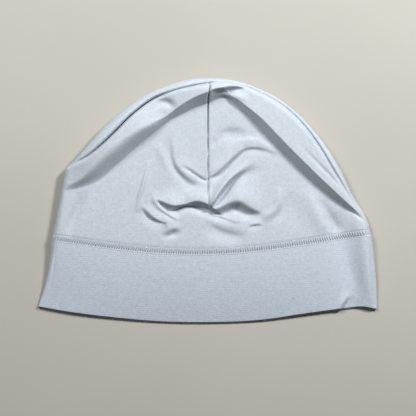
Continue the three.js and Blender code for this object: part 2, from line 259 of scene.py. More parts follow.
# Folds where the cloth on the left hand of the path stands over the cloth on the right.
# over, under: how far the upper swell and the lower hollow spread beyond the face between them.
# path: x, y, half the width of the face, height of each side from the middle.
LAPS = (
    ("main fold, left", 8.0, 3.6,
     ((-36.3, 1.2, 0.3, 0), (-33.3, -1.3, 0.8, 1.6), (-29.2, -3.6, 1.5, 2.6), (-24.7, -5.3, 2.0, 3.2),
      (-20.1, -4.2, 1.0, 2.6), (-15.5, -3.3, 0.7, 2.3), (-10, -2.4, 2.0, 3.1), (-5.9, -2.7, 2.5, 3.4),
      (-1.9, -3.9, 2.3, 3.3), (1.7, -5.4, 1.8, 2.7), (6.3, -8.2, 1.0, 1.6), (11.3, -10.8, 0.6, 0))),
    ("main fold, right", 10.5, 4.6,
     ((0, -7.6, 1.3, 0), (6, -7.4, 2.4, 1.77), (11.7, -6.1, 3.5, 2.65), (17.1, -4, 3.6, 3.11),
      (22, -3.6, 4.1, 3.18), (27.3, -6.5, 4.1, 2.72), (32.1, -8.2, 3, 2.07), (38.5, -9.2, 1.3, 0))),
    ("rising fold", 3.0, 3.6,
     ((2.4, -5.6, 0.6, 0), (5.2, -1.3, 1.1, 2.8), (7.8, 2.7, 1.5, 4.2), (10.8, 6.8, 1.7, 4.6),
      (13.9, 10.8, 1.8, 4.1), (17.4, 14.6, 1.8, 3.1), (21.5, 18, 1.9, 2.1), (26, 20.8, 2.3, 1.4),
      (31, 23.4, 2.8, 0.7), (37, 25.5, 3.0, 0))),
    ("arched fold", 4.5, 2.6,
     ((0.6, 15.4, 0.7, 0), (6.6, 18.6, 1.3, 1.6), (12.2, 23.6, 1.6, 1.8), (17.2, 28.6, 1.6, 1.5),
      (22.2, 33.1, 1.4, 1.1), (26.4, 36, 1.2, 0.8), (32.1, 37, 1.2, 0.75), (38.5, 36.4, 1.4, 0.6),
      (44.9, 34.5, 1.7, 0.4), (51.3, 31.1, 1.8, 0))),
    ("left fold", 7.4, 3.5,
     ((-27.1, 47.5, 1.2, 0), (-25.6, 35.5, 1.6, 0.64), (-24.6, 28.6, 1.6, 0.86),
      (-22.5, 23.5, 1.7, 1.2), (-18.7, 18.8, 1.9, 1.26), (-14.3, 14.7, 2.3, 1.17),
      (-10.3, 12.5, 2.3, 0.88), (-5, 11.3, 1.9, 0))),
    ("low left fold", 4.0, 4.0,
     ((-46.5, -4.6, 0.5, 0), (-44.2, -7.6, 0.6, 1.0), (-41.5, -10.6, 0.7, 1.4), (-38.4, -13.2, 0.7, 1.3),
      (-33.8, -15.4, 0.9, 0.8), (-28.2, -16.9, 0.8, 0))),
    ("short low fold", 8.6, 3.4,
     ((-32.9, -24.2, 1.9, 0), (-27.8, -23.5, 2.4, 1.13), (-24.4, -21.7, 2.5, 1.51),
      (-18.9, -20.4, 1.9, 0))),
    ("line under the main fold", 2.0, 1.6,
     ((-3.9, -8.8, 0.4, 0), (3, -11, 0.8, 0.41), (8.7, -12, 0.8, 0.54), (14.7, -14.1, 0.8, 0.32),
      (20, -15.8, 0.8, 0.17), (26.5, -15.8, 0.7, 0))),
    ("short right crease", 3.7, 2.3,
     ((28.1, -18.7, 0.8, 0), (33.6, -17.6, 0.9, 0.81), (39.1, -17.2, 0.8, 0))),
)

# Plain swells (height above 0) and hollows (below 0).
# left, right: how far they spread on each hand. path: x, y, height.
SWELLS = (
    ("short crease", 0.9, 0.9,
     ((-18.5, 24.1, 0), (-13.1, 21, -1.8), (-7.5, 17.2, -2.0), (-2.3, 14.1, -1.8), (1.2, 14.5, 0))),
    ("lip line", 0.8, 0.9,
     ((-35.0, -6.0, 0), (-31.6, -9.2, -0.6), (-27, -12.2, -0.7), (-22.6, -14.4, 0))),
    ("lip", 2.4, 1.4,
     ((-36.5, 7.0, 0), (-38.0, 1.0, 1.4), (-35.2, -4.0, 2.1), (-30.8, -7.5, 1.9), (-26.2, -10.6, 1.5),
      (-22.6, -12.8, 0.7), (-19, -14.3, 0))),
    ("left ridge", 2.2, 2.7,
     ((-37.3, 42.3, 0), (-33.4, 34.8, 0.6), (-28.1, 24.2, 0.64), (-20.5, 15, 0.35), (-13.4, 8.9, 0))),
    ("left line ridge", 3.6, 1.3,
     ((-41, 29.5, 0), (-44.4, 16.0, 1.9), (-47.6, 5.0, 2.1), (-50.0, -3.5, 0.9), (-50.6, -9.0, 0))),
    ("left line hollow", 1.2, 1.3,
     ((-39.5, 28.0, 0), (-42.6, 15.6, -1.2), (-45.6, 4.6, -1.3), (-48.2, -4.4, 0))),
    ("bulge", 2.4, 3.0,
     ((10.1, -11.7, 0), (18.4, -10.6, 0.58), (26.8, -13.1, 0.69), (32.9, -14.1, 0))),
    ("right arc", 3.0, 2.4,
     ((51.5, 10.0, 0), (50.4, 1.5, 1.2), (48.0, -5.5, 1.4), (43.8, -10.0, 1.2), (38.0, -12.6, 0))),
    ("right arc hollow", 3.0, 3.4,
     ((57.0, 7.5, 0), (55.0, -3.5, -0.7), (51.0, -11, -0.9), (44.5, -16.5, 0))),
    ("arch ridge", 1.7, 4.0,
     ((11.1, 29.8, 0), (16.9, 39, 0.65), (25.2, 42.7, 0.86), (35.1, 42.2, 0.69), (44.9, 36.9, 0))),
    ("top hollow", 3.3, 6.0,
     ((5.2, 45.1, 0), (13.4, 47.5, -1.39), (19.8, 47.4, -1.54), (28.2, 46.5, 0))),
    ("second top hollow", 2.7, 2.0,
     ((2.8, 35.9, 0), (5.8, 41.1, -0.68), (10.9, 46.1, 0))),
    ("low right hollow", 3.0, 5.7,
     ((-1.9, -16, 0), (4.9, -20.5, -1.51), (11.2, -23.4, -1.65), (19.1, -25.4, -1.51),
      (27.7, -26.4, 0))),
    ("right pleat", 3.9, 5.9,
     ((68.4, 9.7, 0), (75.8, -4.8, 1.42), (81.3, -16.8, 1.29), (84.8, -24.7, 0))),
    ("right pleat hollow", 3.6, 5.3,
     ((79, 1.9, 0), (85.5, -9.6, -1.44), (90.5, -18.2, -1.45), (94.1, -23.7, 0))),
    ("right swell", 5.7, 4.8,
     ((60.6, 6.1, 0), (61.2, -8.5, -0.75), (60.6, -24.6, 0))),
    ("side crease", 3.4, 3.2,
     ((-88.5, 7, 0), (-91.3, -3, -1.3), (-94.8, -12, -1.7), (-97.8, -21, -0.8), (-99, -27, 0))),
    ("low swell", 1.4, 2.7,
     ((-33.9, -27.9, 0), (-23.3, -26.9, 0.56), (-15.3, -24.9, 0))),
)

# Shapes on the roll outside the panel, in the columns of the laps and of the swells.
RIM_LAPS = (
    ("top tongue", 3.0, 3.0,
     ((2.0, 78.0, 1.0, 0), (8.0, 78.6, 1.8, 1.6), (14.0, 79.2, 2.2, 2.4), (20.0, 80.0, 1.9, 2.1),
      (26.0, 80.3, 1.2, 1.1), (31.5, 79.3, 0.7, 0))),
)
RIM_DENTS = (
    ("left dent", 2.6, 2.6,
     ((-38.0, 69.5, 0), (-32.5, 69.6, -1.8), (-27.5, 68.6, -2.2), (-23.0, 64.5, 0))),
    ("right side line", 1.3, 1.3,
     ((64.0, 41.5, 0), (75.8, 28.7, -0.6), (88.2, 16.0, -0.7), (99.0, 4.5, 0))),
    ("top knuckle", 2.6, 2.6,
     ((15.5, 76.0, 0), (19.5, 75.0, 1.4), (24.0, 72.4, 1.1), (28.5, 69.0, 0))),
)

# The same on the band.
BAND_LAPS = (
    ("corner fold", 3.0, 11.0,
     ((91.5, -84.0, 0.7, 0), (94.0, -78.5, 0.8, 0.9), (97.2, -73.0, 1.0, 1.1), (102.0, -66.4, 1.8, 0))),
)
BAND_DENTS = (
    ("left edge line", 0.9, 0.9,
     ((-107.6, -30.0, 0), (-108.8, -42.0, -0.4), (-110.4, -54.0, -0.4), (-112.6, -66.0, 0))),
)

# Swells that run over the band seam.
EDGE_SWELLS = (
    ("right edge ridge", 3.0, 7.0,
     ((104.0, -6.0, 0), (108.5, -14.0, 2.0), (112.0, -26.0, 3.4), (113.5, -42.0, 3.9), (114.5, -57.0, 3.6),
      (115.5, -70.0, 2.2), (116.5, -84.0, 0))),
    ("right hollow", 7.0, 9.0,
     ((90.0, -8.0, 0), (94.0, -20.0, -1.6), (98.0, -38.0, -1.8), (101.5, -54.0, -1.6), (104.0, -68.0, -0.8),
      (106.0, -84.0, 0))),
)


# Curves and tables

def mix(start, end, share):
    """Start at share 0, end at share 1."""
    return start + (end - start) * share


def ease(low, high, value):
    """0 up to low, 1 from high on, smooth between."""
    share = np.clip((value - low) / (high - low), 0.0, 1.0)
    return share * share * (3.0 - 2.0 * share)


def column(table, names, name):
    return np.array([row[names.index(name)] for row in table], dtype=float)


def read(values, place):
    """Smooth curve through the values; place runs from 0 at the first to 1 at the last."""
    values = np.asarray(values, dtype=float)
    last = len(values) - 1
    padded = np.concatenate([[2 * values[0] - values[1]], values, [2 * values[-1] - values[-2]]])
    spot = np.clip(np.asarray(place, dtype=float), 0.0, 1.0) * last
    row = np.minimum(spot.astype(int), last - 1)
    share = spot - row
    before, start, end, after = (padded[row + i] for i in range(4))
    squared = share * share
    cubed = squared * share
    return ((2 * cubed - 3 * squared + 1) * start + (cubed - 2 * squared + share) * (end - before) / 2
            + (3 * squared - 2 * cubed) * end + (cubed - squared) * (after - start) / 2)


RIM_CURVES = {name: column(RIM, RIM_COLUMNS, name) for name in RIM_COLUMNS}
DART_SIDE = list(RIM_CURVES["edge_x"]).index(DART_X) / (len(RIM) - 1)
BAND_CURVES = {name: column(BAND, BAND_TABLE_COLUMNS, name) for name in BAND_TABLE_COLUMNS}


def rim(name, side):
    return read(RIM_CURVES[name], side)


def band(name, place):
    return read(BAND_CURVES[name], place)


def spaced(count, density):
    """Places from 0 to 1 that lie closer together where density is higher."""
    fine = np.linspace(0.0, 1.0, DENSITY_SAMPLES)
    weight = density(fine)
    total = np.concatenate([[0.0], np.cumsum((weight[1:] + weight[:-1]) / 2)])
    return np.interp(np.linspace(0.0, total[-1], count + 1), total, fine)


def nearest(run, x, y):
    """Distance to a run of points, the hand it lies on (left is 1) and the share along it."""
    run = np.asarray(run, dtype=float)
    start = run[:-1]
    step = run[1:] - start
    length = (step ** 2).sum(axis=1)
    shape = np.shape(x)
    flat_x = np.ravel(x)
    flat_y = np.ravel(y)
    distance = np.empty(flat_x.size)
    hand = np.empty(flat_x.size)
    share = np.empty(flat_x.size)
    for first in range(0, flat_x.size, NEAREST_CHUNK):
        part = slice(first, first + NEAREST_CHUNK)
        dx = flat_x[part, None] - start[:, 0]
        dy = flat_y[part, None] - start[:, 1]
        along = np.clip((dx * step[:, 0] + dy * step[:, 1]) / length, 0.0, 1.0)
        gap = np.hypot(dx - along * step[:, 0], dy - along * step[:, 1])
        best = gap.argmin(axis=1)
        rows = np.arange(best.size)
        distance[part] = gap[rows, best]
        cross = step[best, 0] * dy[rows, best] - step[best, 1] * dx[rows, best]
        hand[part] = np.where(cross >= 0, 1.0, -1.0)
        share[part] = (best + along[rows, best]) / len(step)
    return distance.reshape(shape), hand.reshape(shape), share.reshape(shape)


def smooth_run(points):
    """Close points on a smooth curve through the points of a path, with its other columns."""
    points = np.asarray(points, dtype=float)
    place = np.linspace(0.0, 1.0, SPAN_SAMPLES * (len(points) - 1) + 1)
    return np.column_stack([read(points[:, i], place) for i in range(points.shape[1])])


# Plan of the cap

def seam_point(place):
    """Point on the band seam; place runs from 0 on the left to 1 on the right."""
    return band("seam_x", place), band("seam_y", place)


def band_place(side):
    """Where on the band seam a column of the crown starts."""
    first = RIM_CURVES["foot_x"][0]
    last = RIM_CURVES["foot_x"][-1]
    return np.clip((rim("foot_x", side) - first) / (last - first), 0.0, 1.0)


def crown_plan(side, level):
    """Level 0 is the band seam, 1 the foot of the roll, 2 its crest and 3 the outline."""
    foot_x = rim("foot_x", side)
    foot_y = rim("foot_y", side)
    start_x, start_y = seam_point(band_place(side))
    crest_at = rim("crest_at", side)
    outward = np.where(level <= 2, (level - 1) * (1 - crest_at), 1 - crest_at * (3 - level))
    x = np.where(level <= 1, mix(start_x, foot_x, level), mix(foot_x, rim("edge_x", side), outward))
    y = np.where(level <= 1, mix(start_y, foot_y, level), mix(foot_y, rim("edge_y", side), outward))
    return x, y


def column_length(side):
    """How far the crown runs from its band seam to the foot of the roll."""
    start_x, start_y = seam_point(band_place(side))
    return np.hypot(rim("foot_x", side) - start_x, rim("foot_y", side) - start_y)


def band_plan(place, level):
    """Level 0 is the band seam and 1 the hem."""
    start_x, start_y = seam_point(place)
    bulge = 4 * level * (1 - level)
    from_left = np.maximum(0.0, 1 - place / BOW_REACH)
    from_right = np.maximum(0.0, 1 - (1 - place) / BOW_REACH)
    bow = bulge * (LEFT_EDGE_BOW * from_left + RIGHT_EDGE_BOW * from_right)
    return mix(start_x, band("hem_x", place), level) + bow, mix(start_y, band("hem_y", place), level)


def outline_run():
    """Sides and dome of the cap's outline from hem to hem."""
    down = np.linspace(1.0, 0.0, EDGE_SAMPLES)
    left = np.column_stack(band_plan(np.zeros(EDGE_SAMPLES), down))
    across = np.linspace(0.0, 1.0, DOME_SAMPLES)
    dome = np.column_stack(crown_plan(across, np.full(DOME_SAMPLES, 3.0)))
    left_foot = np.column_stack(crown_plan(np.zeros(1), np.ones(1)))
    right_foot = np.column_stack(crown_plan(np.ones(1), np.ones(1)))
    right = np.column_stack(band_plan(np.ones(EDGE_SAMPLES), down[::-1]))
    return np.vstack([left, left_foot, dome, right_foot, right])


OUTLINE = outline_run()


# Heights

def around(run, reach, x, y):
    """Which points lie in the box round a run, widened by reach."""
    return ((x > run[:, 0].min() - reach) & (x < run[:, 0].max() + reach)
            & (y > run[:, 1].min() - reach) & (y < run[:, 1].max() + reach))


def lap_height(x, y, over, under, path):
    """A steep face with a swell on its left hand and a hollow on its right."""
    run = smooth_run(path)
    near = around(run, FOLD_REACH * max(over, under) + run[:, 2].max(), x, y)
    distance, hand, share = nearest(run[:, :2], x[near], y[near])
    half = np.maximum(read(run[:, 2], share), LEAST_HALF_FACE)
    beyond = np.maximum(distance - half, 0.0)
    spread = np.where(hand > 0, over, under)
    face = np.sin(np.pi / 2 * np.minimum(distance / half, 1.0))
    total = np.zeros(np.shape(x))
    total[near] = read(run[:, 3], share) * hand * face * np.exp(-(beyond / spread) ** 2)
    return total


def swell_height(x, y, left, right, path):
    """A round ridge, or a hollow where its height is below 0."""
    run = smooth_run(path)
    near = around(run, FOLD_REACH * max(left, right), x, y)
    distance, hand, share = nearest(run[:, :2], x[near], y[near])
    spread = np.where(hand > 0, left, right)
    total = np.zeros(np.shape(x))
    total[near] = read(run[:, 2], share) * np.exp(-(distance / spread) ** 2)
    return total


def fold_height(laps, swells, x, y):
    """All the laps and swells of two tables together."""
    total = np.zeros(np.shape(x))
    for _, over, under, path in laps:
        total += lap_height(x, y, over, under, path)
    for _, left, right, path in swells:
        total += swell_height(x, y, left, right, path)
    return total


def dart_groove(x, y):
    """The centre seam, which jogs to the right where it crosses the roll."""
    jog = DART_JOG * ease(*DART_JOG_STARTS, y) * (1 - ease(*DART_JOG_ENDS, y))
    return -DART_DEPTH * np.exp(-((x - DART_X - jog) / DART_WIDTH) ** 2) * ease(*DART_DEEPENS, y)


def stitch_channel(side, level):
    """The cloth is pulled down a little under the rows of stitches."""
    from_seam = level * column_length(side)
    return -CHANNEL_DEPTH * ease(*CHANNEL_STARTS, from_seam) * (1 - ease(*CHANNEL_ENDS, from_seam))


def panel_height(x, y):
    """Upper face of the cap without its roll and folds: one height in the middle, others at the sides."""
    half_width = BAND_CURVES["hem_x"][-1]
    starts, ends = PANEL_RISE
    from_hem = np.clip((y - starts) / (ends - starts), 0.0, 1.0)
    middle = mix(HEM_HEIGHT, PANEL_HEIGHT, 1 - (1 - from_hem) ** 2)
    at_side = np.where(x < 0, NOTCH_HEIGHT, SIDE_HEIGHT)
    side = mix(HEM_HEIGHT, at_side, ease(*SIDE_RISE, y))
    return side + (middle - side) * (1 - np.minimum(np.abs(x) / half_width, 1.0) ** PANEL_FLATNESS)


def mid_height(y):
    """Height at which the outline runs."""
    side = mix(HEM_MID_HEIGHT, SIDE_MID_HEIGHT, ease(*HEM_MID_RISE, y))
    return mix(side, DOME_MID_HEIGHT, ease(*DOME_MID_RISE, y))


def ramp(share, bend):
    """Even slope from 0 to 1 with a short bend at each end."""
    start = np.clip(share, 0.0, bend)
    end = np.clip(share - 1 + bend, 0.0, bend)
    even = np.clip(share - bend, 0.0, 1 - 2 * bend)
    return (start ** 2 / (2 * bend) + even + end - end ** 2 / (2 * bend)) / (1 - bend)


def rounded(distance, width):
    """Quarter ellipse: 0 at the outline, 1 from the given width inward."""
    inward = np.clip((distance - OUTLINE_GRACE) / width, 0.0, 1.0)
    return np.sqrt(1 - (1 - inward) ** 2)


def upper_z(x, y, body, detail):
    """Body and detail, rounded down to the outline."""
    middle = mid_height(y)
    distance = nearest(OUTLINE, x, y)[0]
    return middle + (body + detail - middle) * rounded(distance, UPPER_ROUNDNESS * (body - middle))


def lower_z(x, y):
    """Flat on the floor, rounded up to the outline."""
    middle = mid_height(y)
    distance = nearest(OUTLINE, x, y)[0]
    return middle * (1 - rounded(distance, LOWER_ROUNDNESS * middle))


def seam_level(side):
    """Level of the side seam, between the crest at 2 and the outline at 3."""
    return 3 - np.maximum(rim("seam_at", side), LEAST_SEAM_INSET) / rim("crest_at", side)


def side_seam_groove(side, level, x, y):
    """Depth of the side seam's groove; it lies where the two crown panels meet."""
    seam_x, seam_y = crown_plan(side, seam_level(side))
    away = np.hypot(x - seam_x, y - seam_y)
    return -rim("seam_depth", side) * np.exp(-(away / SIDE_SEAM_WIDTH) ** 2) * (level > 2)


def crown_upper(side, level):
    """Upper face of the crown with its roll, folds and seams."""
    x, y = crown_plan(side, level)
    climb = np.clip(level - 1, 0.0, 1.0)
    wall = mix(climb * climb * (3 - 2 * climb), np.sin(np.pi / 2 * climb), ease(*CRISP_WALL, side))
    wall = mix(wall, ramp(climb, WALL_BEND), ease(*EVEN_WALL, side))
    fall = ROLL_FALL * np.clip(level - 2, 0.0, 1.0)
    body = panel_height(x, y) + np.maximum(rim("rise", side), 0.0) * wall - fall
    detail = fold_height(LAPS, SWELLS + EDGE_SWELLS, x, y) * (1 - ease(*FOLDS_FADE, level))
    detail += fold_height(RIM_LAPS, RIM_DENTS, x, y) * ease(*RIM_SHAPES, level)
    detail += dart_groove(x, y)
    detail += side_seam_groove(side, level, x, y)
    detail += stitch_channel(side, level)
    return np.stack([x, y, upper_z(x, y, body, detail)], axis=-1)


def crown_lower(side, level):
    """Under face of the crown, on the floor."""
    x, y = crown_plan(side, level)
    return np.stack([x, y, lower_z(x, y)], axis=-1)


def band_upper(place, level):
    """Upper face of the band with its corner fold."""
    x, y = band_plan(place, level)
    detail = fold_height(BAND_LAPS, BAND_DENTS + EDGE_SWELLS, x, y)
    return np.stack([x, y, upper_z(x, y, panel_height(x, y), detail)], axis=-1)


def band_lower(place, level):
    """The back layer's hem hangs a little below the front's, except at the two folds."""
    x, y = band_plan(place, level)
    from_corner = np.minimum(place, 1 - place)
    y = y - BACK_HEM_DROP * ease(*HEM_DROP_LEVELS, level) * ease(*HEM_DROP_CORNERS, from_corner)
    return np.stack([x, y, lower_z(x, y)], axis=-1)


def as_seen(points):
    """Moves each point so that the camera above sees it where the plan draws it."""
    share = (CAMERA_HEIGHT - points[..., 2:]) / (CAMERA_HEIGHT - VIEW_LEVEL)
    centre = np.array([CAMERA_X, CAMERA_Y])
    flat = centre + (points[..., :2] - centre) * share
    return np.concatenate([flat, points[..., 2:]], axis=-1)


# Meshes

def grid_normals(points, wraps=False):
    """Unit normals of a grid of points, rows by columns."""
    down = np.gradient(points, axis=0)
    if wraps:
        across = (np.roll(points, -1, axis=1) - np.roll(points, 1, axis=1)) / 2
    else:
        across = np.gradient(points, axis=1)
    normal = np.cross(across, down)
    length = np.linalg.norm(normal, axis=-1, keepdims=True)
    return normal / np.maximum(length, 1e-9)


def grid_faces(rows, columns, first, turned, wraps=False):
    """Quads of a grid whose vertices are numbered from first; turned quads face the other way."""
    index = first + np.arange(rows * columns).reshape(rows, columns)
    if wraps:
        index = np.column_stack([index, index[:, :1]])
    a = index[:-1, :-1].ravel()
    b = index[:-1, 1:].ravel()
    c = index[1:, 1:].ravel()
    d = index[1:, :-1].ravel()
    return np.column_stack([d, c, b, a] if turned else [a, b, c, d])


def ring_faces(first_ring, second_ring):
    """Quads between two closed rings of vertex numbers of the same length."""
    a = np.append(first_ring, first_ring[0])
    b = np.append(second_ring, second_ring[0])
    return np.column_stack([a[:-1], b[:-1], b[1:], a[1:]])


def border(rows, columns, first):
    """Vertex numbers once round the edge of a grid."""
    index = first + np.arange(rows * columns).reshape(rows, columns)
    return np.concatenate([index[0, :-1], index[:-1, -1], index[-1, :0:-1], index[:0:-1, 0]])


def make_piece(name, points, faces, finish):
    """Smooth-shaded object from points in millimetres, riding on the one body."""
    mesh = bpy.data.meshes.new(name)
    vertices = np.ascontiguousarray(points * MM, dtype=np.float32)
    mesh.vertices.add(len(vertices))
    mesh.vertices.foreach_set("co", vertices.ravel())
    sizes = np.array([len(face) for face in faces])
    loops = np.concatenate([np.asarray(face) for face in faces]).astype(np.int32)
    mesh.loops.add(len(loops))
    mesh.loops.foreach_set("vertex_index", loops)
    mesh.polygons.add(len(sizes))
    starts = np.concatenate([[0], np.cumsum(sizes)[:-1]]).astype(np.int32)
    mesh.polygons.foreach_set("loop_start", starts)
    mesh.polygons.foreach_set("use_smooth", np.ones(len(sizes), dtype=bool))
    mesh.update(calc_edges=True)
    mesh.validate()
    mesh.materials.append(finish)
    piece = bpy.data.objects.new(name, mesh)
    bpy.context.scene.collection.objects.link(piece)
    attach(piece, "root")
    return piece


def open_shell(outer, inner):
    """Sheet with its outer face on the fine grid and its inner face on every second line of it."""
    rows, columns = outer.shape[:2]
    inner_rows, inner_columns = inner.shape[:2]
    count = rows * columns
    outer_line = border(rows, columns, 0)
    inner_line = border(inner_rows, inner_columns, count)
    start = outer_line[::2]
    middle = outer_line[1::2]
    end = np.roll(start, -1)
    inner_end = np.roll(inner_line, -1)
    faces = list(grid_faces(rows, columns, 0, False))
    faces += list(grid_faces(inner_rows, inner_columns, count, True))
    faces += list(np.column_stack([start, inner_line, inner_end, middle]))
    faces += list(np.column_stack([middle, inner_end, end]))
    return np.concatenate([outer.reshape(-1, 3), inner.reshape(-1, 3)]), faces


def crowd_ends(density, share):
    """Adds grid lines near both ends of a run."""
    return (density + ENDS_CROWDING * np.exp(-share / ENDS_REACH)
            + ENDS_CROWDING * np.exp(-(1 - share) / ENDS_REACH))


def front_density(side):
    return crowd_ends(1 + DART_CROWDING * np.exp(-((side - DART_SIDE) / DART_REACH) ** 2), side)


def panel_density(level):
    return (1 + CREASE_CROWDING * np.exp(-((level - CREASE_LEVEL) / CREASE_REACH) ** 2)
            + SEAM_CROWDING * np.exp(-level / SEAM_REACH))


def plain_density(share):
    return crowd_ends(1, share)


def band_density(level):
    return 1 + BAND_SEAM_CROWDING * np.exp(-level / BAND_SEAM_REACH)


def seam_turn(sides):
    """Angle from the crest to the side seam, where the outline is at a quarter turn."""
    return np.arcsin(np.clip(seam_level(sides) - 2, 0.0, 1.0))


def front_grid():
    """Side and level of each point: the panel, then the wall of the roll, then up to the side seam."""
    sides = spaced(FRONT_COLUMNS, front_density)
    wall_row = PANEL_ROWS + 1
    roll_row = wall_row + STEP_ROWS
    side = np.tile(sides, (roll_row + ROLL_ROWS, 1))
    level = np.empty(side.shape)
    level[:wall_row] = spaced(PANEL_ROWS, panel_density)[:, None]
    level[wall_row:roll_row] = 1 + np.linspace(0.0, 1.0, STEP_ROWS + 1)[1:, None]
    turn = seam_turn(sides)
    for i in range(ROLL_ROWS):
        level[roll_row + i] = 2 + np.sin(turn * (i + 1) / ROLL_ROWS)
    return side, level


def square_sides(normals):
    """Turns the normals of the first and last column straight out to the sides."""
    normals[:, 0] = (-1.0, 0.0, 0.0)
    normals[:, -1] = (1.0, 0.0, 0.0)


def build_front(finish):
    """Front panel, from the band seam over the rim to the side seams."""
    side, level = front_grid()
    outer = crown_upper(side, level)
    outer[0, :, 1] += SEAM_GAP / 2
    outer[0, :, 2] -= SEAM_TUCK
    outer[:, 0, 2] += SEAM_GAP / 2
    outer[:, -1, 2] += SEAM_GAP / 2
    normals = grid_normals(outer)
    square_sides(normals)
    inner = outer - normals * CROWN_WALL
    inside = (slice(1, -1), slice(1, -1), 2)
    inner[inside] = np.minimum(inner[inside], outer[inside] - LEAST_CROWN_WALL)
    points, faces = open_shell(as_seen(outer), as_seen(inner[::2, ::2]))
    return make_piece("front_panel", points, faces, finish)


def build_back(finish):
    """Back panel, from the side seams over the outline and flat under the cap to the band seam."""
    sides = spaced(BACK_COLUMNS, plain_density)
    start = seam_turn(sides)
    over = np.array([2 + np.sin(mix(start, np.pi / 2, i / OVER_ROWS)) for i in range(OVER_ROWS)])
    turn = np.linspace(0.0, np.pi / 2, UNDER_ROWS + 1)
    under = np.tile((3 - (1 - np.cos(turn)))[:, None], (1, sides.size))
    flat = np.tile((2 - 2 * np.linspace(0.0, 1.0, FLAT_ROWS + 1)[1:])[:, None], (1, sides.size))
    upper = crown_upper(np.tile(sides, (OVER_ROWS, 1)), over)
    lower_levels = np.vstack([under, flat])
    lower = crown_lower(np.tile(sides, (len(lower_levels), 1)), lower_levels)
    outer = np.vstack([upper, lower])
    outer[-1, :, 1] += SEAM_GAP / 2
    outer[:, 0, 2] -= SEAM_GAP / 2
    outer[:, -1, 2] -= SEAM_GAP / 2
    normals = grid_normals(outer)
    square_sides(normals)
    inner = outer - normals * CROWN_WALL
    points, faces = open_shell(as_seen(outer), as_seen(inner[::2, ::2]))
    return make_piece("back_panel", points, faces, finish)


def band_grid():
    """Outer face of the band, once round: the front from left to right, then the back."""
    across = spaced(BAND_COLUMNS, plain_density)
    back = across[-2:0:-1]
    levels = spaced(BAND_ROWS, band_density)[:, None]
    upper = band_upper(np.tile(across, (levels.size, 1)), np.tile(levels, (1, across.size)))
    lower = band_lower(np.tile(back, (levels.size, 1)), np.tile(levels, (1, back.size)))
    return np.concatenate([upper, lower], axis=1)


def build_band(finish):
    """Band as one closed ring, with a rounded lip at the hem."""
    outer = band_grid()
    outer[0, :, 1] -= SEAM_GAP / 2
    normals = -grid_normals(outer, wraps=True)
    inner = outer - normals * BAND_WALL
    lip = np.array([0.0, HEM_LIP, 0.0])
    turns = np.linspace(0.0, np.pi, HEM_LIP_STEPS + 1)[1:-1]
    middle = (outer[-1] + inner[-1]) / 2
    half = (outer[-1] - inner[-1]) / 2
    lips = [middle + half * np.cos(turn) - lip * np.sin(turn) for turn in turns]
    loop = np.concatenate([outer, np.array(lips), inner[::-1]], axis=0)
    rows, columns = loop.shape[:2]
    points = as_seen(loop).reshape(-1, 3)
    faces = grid_faces(rows, columns, 0, True, wraps=True)
    index = np.arange(rows * columns).reshape(rows, columns)
    top = ring_faces(index[0], index[-1])
    return make_piece("folded_band", points, np.concatenate([faces, top]), finish)


def tube(path, radius):
    """Closed thread along a path, thinner at its ends; each ring stands square to it."""
    path = np.asarray(path, dtype=float)
    along = np.gradient(path, axis=0)
    along /= np.linalg.norm(along, axis=1, keepdims=True)
    up = np.tile([0.0, 0.0, 1.0], (len(path), 1))
    across = np.cross(along, up)
    across /= np.linalg.norm(across, axis=1, keepdims=True)
    up = np.cross(across, along)
    radii = radius * np.sqrt(np.sin(np.pi * np.linspace(*THREAD_TAPER, len(path))))
    turns = np.arange(THREAD_SIDES) * 2 * np.pi / THREAD_SIDES
    rings = (path[:, None] + radii[:, None, None] * (across[:, None] * np.cos(turns)[:, None]
             + up[:, None] * np.sin(turns)[:, None]))
    index = np.arange(len(path) * THREAD_SIDES).reshape(len(path), THREAD_SIDES)
    faces = [list(quad) for quad in grid_faces(len(path), THREAD_SIDES, 0, True, wraps=True)]
    faces.append(list(index[0]))
    faces.append(list(index[-1][::-1]))
    return rings.reshape(-1, 3), faces


def seam_sides():
    """Columns of the crown at which the stitches lie, evenly spaced along the band seam."""
    fine = np.linspace(0.0, 1.0, SEAM_SAMPLES)
    x, y = seam_point(band_place(fine))
    run = np.concatenate([[0.0], np.cumsum(np.hypot(np.diff(x), np.diff(y)))])
    count = int(run[-1] / STITCH_PITCH)
    return np.interp((np.arange(count) + 0.5) / count * run[-1], run, fine)


def arch(count, fullness=1):
    """Rises from 0 to 1 and falls back; less fullness makes it blunter."""
    return np.sin(np.pi * np.linspace(0.0, 1.0, count)) ** fullness


def lay_thread(points, rise, lift):
    """Lifts the middle of a thread off the cloth and sinks its ends."""
    points[:, 2] += lift * rise - THREAD_SINK * (1 - rise)
    return points


def loop_paths(surface, sides):
    """Loops of thread across the seam, each leaning a little."""
    length = column_length(sides)
    reach = np.linspace(STITCH_START, STITCH_END, LOOP_POINTS)
    # The crown is about twice as wide as its middle column is long.
    lean = STITCH_SLANT / (2 * column_length(DART_SIDE)) * np.linspace(-0.5, 0.5, LOOP_POINTS)
    rise = arch(LOOP_POINTS, LOOP_FULLNESS)
    paths = []
    for i, side in enumerate(sides):
        points = surface(np.clip(side + lean, 0.0, 1.0), reach / length[i])
        paths.append((lay_thread(points, rise, LOOP_LIFT), LOOP_RADIUS))
    return paths


def needle_paths(surface, sides):
    """Two rows of short stitches along the seam, at the ends of the loops."""
    rise = arch(NEEDLE_POINTS)
    paths = []
    for away in (STITCH_START, STITCH_END):
        for start, end in zip(sides[:-1], sides[1:]):
            near, far = (mix(start, end, share) for share in NEEDLE_SPAN)
            place = np.linspace(near, far, NEEDLE_POINTS)
            points = surface(place, away / column_length(place))
            paths.append((lay_thread(points, rise, NEEDLE_LIFT), NEEDLE_RADIUS))
    return paths


